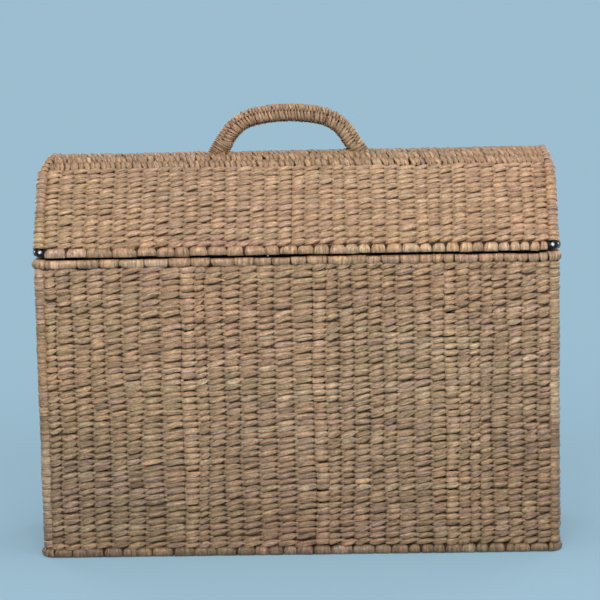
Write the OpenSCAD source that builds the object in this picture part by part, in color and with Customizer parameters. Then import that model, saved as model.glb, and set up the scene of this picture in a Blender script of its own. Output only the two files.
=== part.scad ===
// Rush-woven carrying trunk on an iron rod frame: an open box body and a sloping
// lid with a carrying handle on its ridge, hinged along the back rim.
// Front is towards -Y, up is +Z, and the trunk stands on z = 0.

/* [Case] */
// Width over the wrapped rims
case_w = 600; // [480:5:720]
// Depth over the wrapped rims
case_d = 200; // [170:2:260]
// Height of the body, floor to the top of its wrapped rim
body_h = 346; // [250:2:450]
// Gap between the closed lid and the body rim
seam_gap = 0.4; // [0.3:0.1:1]

/* [Iron frame] */
// Diameter of the rim rods, corner posts, lid hoops and handle core
rod_d = 8; // [6:0.5:9]
// Diameter of the uprights, floor bars and ridge rods
rib_d = 6; // [4:0.5:7]
// Bend radius of the rim rods at their corners, on the centreline
bend_r = 10; // [9:0.5:16]
// Spacing of the three uprights in the front and in the back
upright_pitch = 150; // [110:5:170]
// Middle upright from the middle of the trunk, as it was set by hand
upright_shift = 22; // [-25:1:25]
// Gap left at a butt weld between two rods
weld_gap = 0.1; // [0.05:0.05:0.2]
// Height of the bead where the bends of a lid hoop or of the handle are joined
bead = 0.5; // [0.3:0.1:1]

/* [Rush] */
// Thickness of the woven walls
weave_t = 9; // [8:0.5:11]
// Thickness of the woven floor
floor_t = 9; // [8:0.5:10]
// Thickness of the rush wrapped round a rod
wrap_t = 2.2; // [1.6:0.1:3]
// Depth worn flat under the base wrapping, where the trunk stands
foot_flat = 0.6; // [0.4:0.1:1]
// Gap between a rush piece and what it is fitted to
rush_fit = 0.15; // [0.05:0.05:0.3]

/* [Lid] */
// Rise of the lid slope from the rim rod to the ridge rod
slope_rise = 86; // [70:1:110]
// Radius of the gentle outward curve of the slope
slope_r = 380; // [300:10:600]
// Distance between the two ridge rods
ridge_w = 66; // [50:1:90]
// Bare rod left beside each bend on the front and back of the lid rim
bare_front = 0.5; // [0.5:0.5:6]
// Bare rod left beside each bend on the ends of the lid rim
bare_end = 5; // [4:0.5:12]

/* [Handle] */
// Centreline radius of the flat crown of the handle arch
crown_r = 189; // [150:1:230]
// Half the angle that the crown spans
crown_half = 11.5; // [9:0.5:14]
// Centreline radius of the bend on each side of the crown
elbow_r = 49; // [42:1:60]
// Lean of the straight handle legs, out from upright
leg_lean = 32; // [26:1:38]
// Diameter of the woven handle grip
handle_d = 22; // [17:1:26]
// Height of the handle above the top of the ridge
handle_rise = 55; // [44:1:70]
// Handle centre from the middle of the lid, as it was tied on by hand
handle_shift = -9; // [-20:1:20]
// Thickness of the tight wrapping at each handle foot
foot_wrap_t = 2; // [1:0.5:3]
// Height of that wrapping above the ridge, along the leg
foot_wrap_h = 15; // [10:1:18]

/* [Hinge] */
// Distance of each hinge loop from the middle
hinge_x = 215; // [185:5:260]
// Width of a hinge loop
hinge_w = 14; // [8:1:24]
// Wall of the hinge eye round the rod
eye_t = 1.8; // [1.2:0.1:2]
// Thickness of the web between the two eyes
web_t = 5; // [3:0.5:6]
// Radial running clearance of the lid rod in the eye
hinge_fit = 0.05; // [0.02:0.01:0.1]
// Gap between a hinge loop and the wrapping beside it
hinge_side = 0.5; // [0.3:0.1:1]

/* [Hidden] */
$fn = 72;
rush_color = [0.70, 0.58, 0.43];
wrap_color = [0.66, 0.53, 0.38];
iron_color = [0.06, 0.06, 0.06];

// Wrapped rods, and the rectangle that the rim rods follow
wrap_d = rod_d + 2 * wrap_t;
wrap_cut = wrap_d + 2 * rush_fit;
rod_bore = rod_d + 2 * weld_gap;
rib_bore = rib_d + 2 * rush_fit;
rim_x = (case_w - wrap_d) / 2;
rim_y = (case_d - wrap_d) / 2;
side_x = rim_x - bend_r;
side_y = rim_y - bend_r;

// Corner posts stand on the middle of each bend
post_x = side_x + bend_r * cos(45);
post_y = side_y + bend_r * sin(45);

// Heights of the three rim rods
base_z = wrap_d / 2 - foot_flat;
body_rim_z = body_h - wrap_d / 2;
lid_z = body_h + seam_gap + wrap_d / 2;
weld_reach = rod_d / 2 + weld_gap;

// Lid section, as [y, z]: a slope from foot to shoulder, then the ridge arc tangent to it
foot = [-post_y, lid_z];
shoulder = [-ridge_w / 2, lid_z + slope_rise];
slope_chord = norm(shoulder - foot);
slope_in = [slope_rise, foot[0] - shoulder[0]] / slope_chord;
slope_c = (foot + shoulder) / 2 + slope_in * sqrt(slope_r * slope_r - slope_chord * slope_chord / 4);
slope_from = atan2(shoulder[1] - slope_c[1], shoulder[0] - slope_c[0]);
slope_to = atan2(foot[1] - slope_c[1], foot[0] - slope_c[0]);
ridge_half = slope_from - 90;
ridge_r = ridge_w / 2 / sin(ridge_half);
apex_z = shoulder[1] + ridge_r * (1 - cos(ridge_half));
ridge_c = [0, apex_z - ridge_r];
ridge_top = apex_z + weave_t / 2;

// Angles by which slope and ridge stop short, inside the weld bead
slope_bead = bead / slope_r * 180 / PI;
ridge_bead = bead / ridge_r * 180 / PI;

// Handle arch, as [x, z]: a flat crown, an elbow on each side and splayed legs down to the keel
crown_c = [0, ridge_top + handle_rise - handle_d / 2 - crown_r];
crown_end = crown_c + crown_r * [sin(crown_half), cos(crown_half)];
elbow_c = crown_end - elbow_r * [sin(crown_half), cos(crown_half)];
leg_top = elbow_c + elbow_r * [cos(leg_lean), sin(leg_lean)];
leg_len = (leg_top[1] - apex_z) / cos(leg_lean);
leg_bare = (leg_top[1] - ridge_top) / cos(leg_lean);
crown_bead = bead / crown_r * 180 / PI;
elbow_bead = bead / elbow_r * 180 / PI;
foot_wrap_d = handle_d + 2 * foot_wrap_t;

eye_d = rod_d + 2 * eye_t;
hinge_slot = hinge_w + 2 * hinge_side;

// Large enough to cut across the whole trunk
far = 2 * (case_w + case_d + body_h);

// Round bar along X or Y, centred on the origin
module bar_x(d, len) {
  rotate([0, 90, 0]) cylinder(d = d, h = len, center = true);
}

module bar_y(d, len) {
  rotate([90, 0, 0]) cylinder(d = d, h = len, center = true);
}

// Everything below a height, for level cuts
module below(z) {
  translate([-far / 2, -far / 2, z - far]) cube(far);
}

// One bend of a rim rod, at the corner that the signs sx and sy name
module rim_bend(d, sx, sy) {
  mirror([sx < 0 ? 1 : 0, 0, 0]) mirror([0, sy < 0 ? 1 : 0, 0])
    translate([side_x, side_y, 0])
      rotate_extrude(angle = 90) translate([bend_r, 0]) circle(d = d);
}

// A whole rim: one rod bent at four corners and welded shut
module rim_loop(d) {
  for (s = [-1, 1]) {
    translate([0, s * rim_y, 0]) bar_x(d, 2 * side_x);
    translate([s * rim_x, 0, 0]) bar_y(d, 2 * side_y);
    rim_bend(d, s, -1);
    rim_bend(d, s, 1);
  }
}

// Rotates a section about an axis along X: its x is radial, its y runs along X
module turn(center, r, from, to) {
  translate([0, center[0], center[1]]) rotate([90, 0, 90]) rotate([0, 0, from])
    rotate_extrude(angle = to - from) translate([r, 0]) children();
}

// A round section carried over the lid from the front rim to the rear rim,
// with a weld bead where slope and ridge meet
module lid_line(d) {
  for (s = [0, 1])
    mirror([0, s, 0]) {
      turn(slope_c, slope_r, slope_from + slope_bead, slope_to) circle(d = d);
      translate([0, shoulder[0], shoulder[1]]) sphere(d = d + 2 * bead);
    }
  turn(ridge_c, ridge_r, 90 - ridge_half + ridge_bead, 90 + ridge_half - ridge_bead) circle(d = d);
}

// A round section bent about a centre in the plane of the handle, between two angles
module handle_turn(center, r, from, to, d) {
  translate([center[0], 0, center[1]]) rotate([90, 0, 0]) rotate([0, 0, from])
    rotate_extrude(angle = to - from) translate([r, 0]) circle(d = d);
}

// A round section along the right leg of the handle, from and to distances below its top
module handle_leg(d, from, to) {
  translate([leg_top[0], 0, leg_top[1]]) rotate([0, 180 - leg_lean, 0])
    translate([0, 0, from]) cylinder(d = d, h = to - from);
}

// A round section carried along the whole handle, with a bead where its bends begin and end
module handle_line(d) {
  translate([handle_shift, 0, 0]) {
    handle_turn(crown_c, crown_r, 90 - crown_half + crown_bead, 90 + crown_half - crown_bead, d);
    for (s = [0, 1])
      mirror([s, 0, 0]) {
        handle_turn(elbow_c, elbow_r, leg_lean + elbow_bead, 90 - crown_half - elbow_bead, d);
        handle_leg(d, bead, leg_len);
        for (p = [crown_end, leg_top]) translate([p[0], 0, p[1]]) sphere(d = d + 2 * bead);
      }
  }
}

// Places of the three uprights along X, in the front, the back and the floor
function upright_x(i) = upright_shift + (i - 1) * upright_pitch;

module upright_bar(x, y, d) {
  translate([x, y, base_z]) cylinder(d = d, h = body_rim_z - base_z);
}

module upright_bores() {
  for (i = [0:2], s = [-1, 1]) upright_bar(upright_x(i), s * rim_y, rib_bore);
  for (s = [-1, 1]) upright_bar(s * rim_x, 0, rib_bore);
}

module floor_bores() {
  for (i = [0:2]) translate([upright_x(i), 0, base_z]) bar_y(rib_bore, 2 * rim_y);
}

// Iron frame of the body

module rim_rod(z) {
  color(iron_color) translate([0, 0, z]) rim_loop(rod_d);
}

module post(sx, sy) {
  color(iron_color) translate([sx * post_x, sy * post_y, base_z + weld_reach])
    cylinder(d = rod_d, h = body_rim_z - base_z - 2 * weld_reach);
}

module upright(x, y) {
  color(iron_color) translate([x, y, base_z + weld_reach])
    cylinder(d = rib_d, h = body_rim_z - base_z - 2 * weld_reach);
}

module floor_bar(i) {
  color(iron_color) translate([upright_x(i), 0, base_z]) bar_y(rib_d, 2 * (rim_y - weld_reach));
}

// Woven walls and floor of the body

module long_wall(sy) {
  color(rush_color) difference() {
    translate([-post_x, sy * rim_y - weave_t / 2, base_z])
      cube([2 * post_x, weave_t, body_rim_z - base_z]);
    for (s = [-1, 1])
      translate([s * post_x, sy * post_y, 0]) cylinder(d = wrap_cut, h = body_h);
    for (z = [base_z, body_rim_z])
      translate([0, sy * rim_y, z]) bar_x(wrap_cut, case_w);
    upright_bores();
  }
}

module end_wall(sx) {
  color(rush_color) difference() {
    translate([sx * rim_x - weave_t / 2, -post_y, base_z])
      cube([weave_t, 2 * post_y, body_rim_z - base_z]);
    for (s = [-1, 1])
      translate([sx * post_x, s * post_y, 0]) cylinder(d = wrap_cut, h = body_h);
    for (z = [base_z, body_rim_z])
      translate([sx * rim_x, 0, z]) bar_y(wrap_cut, case_d);
    upright_bores();
  }
}

module floor_weave() {
  corner_r = bend_r - wrap_cut / 2;
  color(rush_color) difference() {
    translate([0, 0, base_z - floor_t / 2]) linear_extrude(floor_t) {
      square([2 * side_x, 2 * (side_y + corner_r)], center = true);
      square([2 * (side_x + corner_r), 2 * side_y], center = true);
      for (sx = [-1, 1], sy = [-1, 1])
        translate([sx * side_x, sy * side_y]) circle(r = corner_r);
    }
    floor_bores();
  }
}

// Rush wrapped round the rods of the body

module body_rim_wrap_long(sy) {
  color(wrap_color) difference() {
    translate([0, sy * rim_y, body_rim_z]) bar_x(wrap_d, 2 * (side_x - weld_gap));
    translate([0, sy * rim_y, body_rim_z]) bar_x(rod_bore, case_w);
    upright_bores();
    if (sy > 0)
      for (s = [-1, 1])
        translate([s * hinge_x, rim_y, body_rim_z])
          cube([hinge_slot, 2 * wrap_d, 2 * wrap_d], center = true);
  }
}

module body_rim_wrap_end(sx) {
  color(wrap_color) difference() {
    translate([sx * rim_x, 0, body_rim_z]) bar_y(wrap_d, 2 * (side_y - weld_gap));
    translate([sx * rim_x, 0, body_rim_z]) bar_y(rod_bore, case_d);
    upright_bores();
  }
}

module base_wrap_long(sy) {
  color(wrap_color) difference() {
    translate([0, sy * rim_y, base_z]) bar_x(wrap_d, 2 * (side_x - weld_gap));
    translate([0, sy * rim_y, base_z]) bar_x(rod_bore, case_w);
    upright_bores();
    floor_bores();
    below(0);
  }
}

module base_wrap_end(sx) {
  color(wrap_color) difference() {
    translate([sx * rim_x, 0, base_z]) bar_y(wrap_d, 2 * (side_y - weld_gap));
    translate([sx * rim_x, 0, base_z]) bar_y(rod_bore, case_d);
    upright_bores();
    below(0);
  }
}

// The wrapping of a corner post runs on round the bend above it and the bend below it
module corner_wrap(sx, sy) {
  color(wrap_color) difference() {
    union() {
      translate([sx * post_x, sy * post_y, base_z]) cylinder(d = wrap_d, h = body_rim_z - base_z);
      for (z = [base_z, body_rim_z]) translate([0, 0, z]) rim_bend(wrap_d, sx, sy);
    }
    translate([sx * post_x, sy * post_y, base_z]) cylinder(d = rod_bore, h = body_rim_z - base_z);
    for (z = [base_z, body_rim_z]) translate([0, 0, z]) rim_bend(rod_bore, sx, sy);
    below(0);
  }
}

// Strap loop that is closed round the rear body rod and lets the rear lid rod turn
module hinge_loop(s) {
  color(iron_color) translate([s * hinge_x, rim_y, 0]) difference() {
    union() {
      for (z = [body_rim_z, lid_z]) translate([0, 0, z]) bar_x(eye_d, hinge_w);
      translate([-hinge_w / 2, -web_t / 2, body_rim_z]) cube([hinge_w, web_t, lid_z - body_rim_z]);
    }
    for (z = [body_rim_z, lid_z])
      translate([0, 0, z]) bar_x(rod_d + 2 * hinge_fit, 2 * hinge_w);
  }
}

// Iron frame of the lid

module lid_hoop(sx) {
  color(iron_color) difference() {
    translate([sx * post_x, 0, 0]) lid_line(rod_d);
    below(lid_z + weld_reach);
  }
}

module ridge_bar(y, z, d, reach) {
  translate([0, y, z]) bar_x(d, 2 * reach);
}

module ridge_rod(sy) {
  color(iron_color) ridge_bar(sy * ridge_w / 2, shoulder[1], rib_d, post_x - weld_reach);
}

module ridge_keel() {
  color(iron_color) ridge_bar(0, apex_z, rib_d, post_x - weld_reach);
}

// The bores run on into the hoops' own bores
module ridge_bores() {
  for (s = [-1, 1]) ridge_bar(s * ridge_w / 2, shoulder[1], rib_bore, post_x);
  ridge_bar(0, apex_z, rib_bore, post_x);
}

// Woven panels of the lid

// Section of a lid panel: as long as the lid, hollowed to fit the wrapped end hoops
module panel_section() {
  difference() {
    square([weave_t, 2 * post_x], center = true);
    for (s = [-1, 1]) translate([0, s * post_x]) circle(d = wrap_cut);
  }
}

module lid_slope(sy) {
  color(rush_color) mirror([0, sy > 0 ? 1 : 0, 0]) difference() {
    turn(slope_c, slope_r, slope_from, slope_to) panel_section();
    translate([0, -rim_y, lid_z]) bar_x(wrap_cut, case_w);
    below(lid_z);
    ridge_bores();
  }
}

// The end panel follows the lid section, set in from the wrapped hoop
module lid_end(sx) {
  inset = wrap_cut / 2 + bead;
  neck = shoulder - inset * [cos(slope_from), sin(slope_from)];
  color(rush_color) difference() {
    translate([sx * post_x - weave_t / 2, 0, 0]) rotate([90, 0, 90]) linear_extrude(weave_t) {
      intersection() {
        translate(slope_c) circle(r = slope_r - inset);
        mirror([1, 0]) translate(slope_c) circle(r = slope_r - inset);
        translate(foot) square([2 * post_y, neck[1] - foot[1]]);
      }
      intersection() {
        translate(ridge_c) circle(r = ridge_r - inset);
        translate(neck) square([-2 * neck[0], ridge_r]);
      }
    }
    translate([sx * rim_x, 0, lid_z]) bar_y(wrap_cut, case_d);
  }
}

module ridge_weave() {
  color(rush_color) difference() {
    turn(ridge_c, ridge_r, 90 - ridge_half, 90 + ridge_half) panel_section();
    ridge_bores();
    handle_line(rod_bore);
  }
}

// Rush wrapped round the rods of the lid; the bends stay bare

module lid_rim_wrap_long(sy) {
  color(wrap_color) difference() {
    translate([0, sy * rim_y, lid_z]) bar_x(wrap_d, 2 * (side_x - bare_front));
    translate([0, sy * rim_y, lid_z]) bar_x(rod_bore, case_w);
    if (sy > 0)
      for (s = [-1, 1])
        translate([s * hinge_x, rim_y, lid_z])
          cube([hinge_slot, 2 * wrap_d, 2 * wrap_d], center = true);
  }
}

module lid_rim_wrap_end(sx) {
  color(wrap_color) difference() {
    translate([sx * rim_x, 0, lid_z]) bar_y(wrap_d, 2 * (side_y - bare_end));
    translate([sx * rim_x, 0, lid_z]) bar_y(rod_bore, case_d);
  }
}

module lid_end_wrap(sx) {
  color(wrap_color) difference() {
    translate([sx * post_x, 0, 0]) lid_line(wrap_d);
    translate([sx * post_x, 0, 0]) lid_line(rod_bore);
    below(lid_z + weld_reach);
    ridge_bores();
  }
}

// Handle: an iron core welded to the keel, a woven grip over it and tight wraps at the feet

module handle_core() {
  color(iron_color) difference() {
    handle_line(rod_d);
    below(apex_z + rib_d / 2 + weld_gap);
  }
}

module ridge_surface() {
  translate([0, ridge_c[0], ridge_c[1]]) bar_x(2 * (ridge_r + weave_t / 2 + rush_fit), case_w);
}

module handle_weave() {
  color(rush_color) difference() {
    handle_line(handle_d);
    handle_line(rod_bore);
    ridge_surface();
  }
}

module handle_foot_wrap(s) {
  color(wrap_color) difference() {
    translate([handle_shift, 0, 0]) mirror([s > 0 ? 0 : 1, 0, 0]) difference() {
      handle_leg(foot_wrap_d, leg_bare - foot_wrap_h, leg_len);
      handle_leg(handle_d + 2 * rush_fit, 0, far);
    }
    ridge_surface();
  }
}

rim_rod(body_rim_z);  // body_rim_rod
rim_rod(base_z);  // base_rim_rod
post(-1, -1);  // post_front_left
post(1, -1);  // post_front_right
post(-1, 1);  // post_rear_left
post(1, 1);  // post_rear_right
upright(upright_x(0), -rim_y);  // front_upright_left
upright(upright_x(1), -rim_y);  // front_upright_middle
upright(upright_x(2), -rim_y);  // front_upright_right
upright(upright_x(0), rim_y);  // rear_upright_left
upright(upright_x(1), rim_y);  // rear_upright_middle
upright(upright_x(2), rim_y);  // rear_upright_right
upright(-rim_x, 0);  // left_upright
upright(rim_x, 0);  // right_upright
floor_bar(0);  // floor_bar_left
floor_bar(1);  // floor_bar_middle
floor_bar(2);  // floor_bar_right
long_wall(-1);  // front_weave
long_wall(1);  // rear_weave
end_wall(-1);  // left_weave
end_wall(1);  // right_weave
floor_weave();
body_rim_wrap_long(-1);  // body_rim_wrap_front
body_rim_wrap_long(1);  // body_rim_wrap_rear
body_rim_wrap_end(-1);  // body_rim_wrap_left
body_rim_wrap_end(1);  // body_rim_wrap_right
base_wrap_long(-1);  // base_wrap_front
base_wrap_long(1);  // base_wrap_rear
base_wrap_end(-1);  // base_wrap_left
base_wrap_end(1);  // base_wrap_right
corner_wrap(-1, -1);  // corner_wrap_front_left
corner_wrap(1, -1);  // corner_wrap_front_right
corner_wrap(-1, 1);  // corner_wrap_rear_left
corner_wrap(1, 1);  // corner_wrap_rear_right
hinge_loop(-1);  // hinge_loop_left
hinge_loop(1);  // hinge_loop_right
rim_rod(lid_z);  // lid_rim_rod
lid_hoop(-1);  // lid_hoop_left
lid_hoop(1);  // lid_hoop_right
ridge_rod(-1);  // ridge_rod_front
ridge_rod(1);  // ridge_rod_rear
ridge_keel();
lid_slope(-1);  // lid_front_weave
lid_slope(1);  // lid_rear_weave
lid_end(-1);  // lid_left_weave
lid_end(1);  // lid_right_weave
ridge_weave();
lid_rim_wrap_long(-1);  // lid_rim_wrap_front
lid_rim_wrap_long(1);  // lid_rim_wrap_rear
lid_rim_wrap_end(-1);  // lid_rim_wrap_left
lid_rim_wrap_end(1);  // lid_rim_wrap_right
lid_end_wrap(-1);  // lid_end_wrap_left
lid_end_wrap(1);  // lid_end_wrap_right
handle_core();
handle_weave();
handle_foot_wrap(-1);  // handle_foot_wrap_left
handle_foot_wrap(1);  // handle_foot_wrap_right
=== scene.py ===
import math

import bpy
import numpy as np
from mathutils import Matrix, Vector


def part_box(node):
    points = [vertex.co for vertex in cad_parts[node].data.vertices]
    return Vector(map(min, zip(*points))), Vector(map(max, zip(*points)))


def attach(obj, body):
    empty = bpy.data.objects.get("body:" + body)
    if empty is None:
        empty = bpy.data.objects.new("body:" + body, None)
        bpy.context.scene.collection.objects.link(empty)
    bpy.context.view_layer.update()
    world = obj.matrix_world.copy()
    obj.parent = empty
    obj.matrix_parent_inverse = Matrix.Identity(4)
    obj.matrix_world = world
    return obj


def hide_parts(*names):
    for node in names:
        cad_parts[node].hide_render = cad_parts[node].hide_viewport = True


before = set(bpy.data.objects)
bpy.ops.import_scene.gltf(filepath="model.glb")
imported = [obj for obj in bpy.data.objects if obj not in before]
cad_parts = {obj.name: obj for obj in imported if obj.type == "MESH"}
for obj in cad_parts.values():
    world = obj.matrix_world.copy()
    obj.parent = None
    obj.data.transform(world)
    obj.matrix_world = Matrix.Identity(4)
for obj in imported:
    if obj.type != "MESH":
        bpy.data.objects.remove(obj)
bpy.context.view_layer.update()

# IRON FRAME
# Round steel rod bent cold into two body rims and a lid rim, with posts, uprights, bars, hoops
# and ridge rods butt welded between them, all brushed with black gloss paint. Bare paint shows at
# the bends of the lid rim, each with a white painted highlight, and at the hinge loops; under the
# rush it is dull.

mm = 0.001


def add_node(tree, kind, settings=None, **values):
    """Adds a shader node, sets its properties and fills its inputs by name."""
    made = tree.nodes.new(kind)
    for key, value in (settings or {}).items():
        setattr(made, key, value)
    for key, value in values.items():
        made.inputs[key].default_value = value
    return made


def stretched(tree, value, given, wanted, curve="LINEAR"):
    """Stretches a value from the range that is given to the range that is wanted."""
    made = add_node(tree, "ShaderNodeMapRange", {"interpolation_type": curve})
    limits = zip(("From Min", "From Max", "To Min", "To Max"), (*given, *wanted))
    for label, limit in limits:
        made.inputs[label].default_value = limit
    tree.links.new(value, made.inputs["Value"])
    return made.outputs["Result"]


def srgb(red, green, blue):
    """Turns a colour as seen on screen, 0 to 255, into the linear colour that shaders use."""
    part = np.array([red, green, blue], float) / 255
    return np.where(part <= 0.04045, part / 12.92, ((part + 0.055) / 1.055) ** 2.4)


def new_material(name, shine):
    """A new material of the given shine, with its node tree and its shader."""
    material = bpy.data.materials.new(name)
    material.use_nodes = True
    shader = material.node_tree.nodes["Principled BSDF"]
    shader.inputs["Specular IOR Level"].default_value = shine
    return material, material.node_tree, shader


def paint_material(name, smooth, rough, shine, glint_at=None):
    """Black brushed paint, which may carry a white painted highlight at a spot, for a lamp's
    glint.

    The spot is named on the rear right bend of a rim, and is mirrored to the other bends.
    """
    material, tree, shader = new_material(name, shine)
    link = tree.links.new
    place = add_node(tree, "ShaderNodeTexCoord")
    brushing = add_node(tree, "ShaderNodeTexNoise", Scale=140.0, Detail=4.0)
    black = add_node(tree, "ShaderNodeValToRGB")
    black.color_ramp.elements[0].color = (*srgb(6, 6, 7), 1)
    black.color_ramp.elements[1].color = (*srgb(20, 18, 17), 1)
    gloss = stretched(tree, brushing.outputs["Fac"], (0, 1), (smooth, rough))
    ripple = add_node(tree, "ShaderNodeBump", Strength=0.25, Distance=0.4 * mm)
    link(place.outputs["Object"], brushing.inputs["Vector"])
    link(brushing.outputs["Fac"], black.inputs["Fac"])
    link(gloss, shader.inputs["Roughness"])
    link(brushing.outputs["Fac"], ripple.inputs["Height"])
    link(ripple.outputs["Normal"], shader.inputs["Normal"])
    colour = black.outputs["Color"]
    # Painted highlight: a near-white spot, ragged at its rim, stands for a lamp's glint on the
    # bend
    if glint_at:
        glint_rim = 3.8 * mm
        glint_core = 2.8 * mm
        glint_ragged = 3 * mm
        mirror = add_node(tree, "ShaderNodeVectorMath", {"operation": "ABSOLUTE"})
        away = add_node(tree, "ShaderNodeVectorMath", {"operation": "DISTANCE"})
        away.inputs[1].default_value = glint_at
        ragged = add_node(tree, "ShaderNodeMath", {"operation": "MULTIPLY_ADD"})
        ragged.inputs[1].default_value = glint_ragged
        painted_glint = add_node(tree, "ShaderNodeMix", {"data_type": "RGBA"})
        painted_glint.inputs["B"].default_value = (*srgb(236, 234, 230), 1)
        link(place.outputs["Object"], mirror.inputs[0])
        link(mirror.outputs["Vector"], away.inputs[0])
        link(brushing.outputs["Fac"], ragged.inputs[0])
        link(away.outputs["Value"], ragged.inputs[2])
        glint_share = stretched(tree, ragged.outputs["Value"], (glint_rim, glint_core), (0, 1))
        link(glint_share, painted_glint.inputs["Factor"])
        link(colour, painted_glint.inputs["A"])
        colour = painted_glint.outputs["Result"]
    link(colour, shader.inputs["Base Color"])
    return material


# A white painted highlight on each bend of the lid rim, in place of a lamp's glint
bend_glint_place = (289.3 * mm, 96.1 * mm, 354.6 * mm)
bare_paint = paint_material(
    "black_gloss_paint", smooth=0.05, rough=0.12, shine=0.3, glint_at=bend_glint_place
)
worn_paint = paint_material("black_worn_paint", smooth=0.7, rough=0.9, shine=0.05)
bare_rods = ["lid_rim_rod", "hinge_loop_left", "hinge_loop_right"]
covered_rods = [
    "body_rim_rod", "base_rim_rod",
    "post_front_left", "post_front_right", "post_rear_left", "post_rear_right",
    "front_upright_left", "front_upright_middle", "front_upright_right",
    "rear_upright_left", "rear_upright_middle", "rear_upright_right",
    "left_upright", "right_upright", "floor_bar_left", "floor_bar_middle", "floor_bar_right",
    "ridge_rod_front", "ridge_rod_rear", "ridge_keel", "handle_core",
]
for names, paint in ((bare_rods, bare_paint), (covered_rods, worn_paint)):
    for name in names:
        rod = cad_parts[name]
        rod.data.materials.clear()
        rod.data.materials.append(paint)

# BODY WALLS
# Twined rush: in each row two flattened strands pass before and behind every stake and
# change places between stakes, so each stake shows one leaning, leaf-like stitch.
# The maker set the stakes close after each iron upright and wider towards the next one.

put_in_scene = bpy.context.scene.collection.objects.link


def fill(rows, label, values, kind=np.float32):
    """Fills one property of every row of mesh data at once."""
    rows.foreach_set(label, values.astype(kind).ravel())


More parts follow.
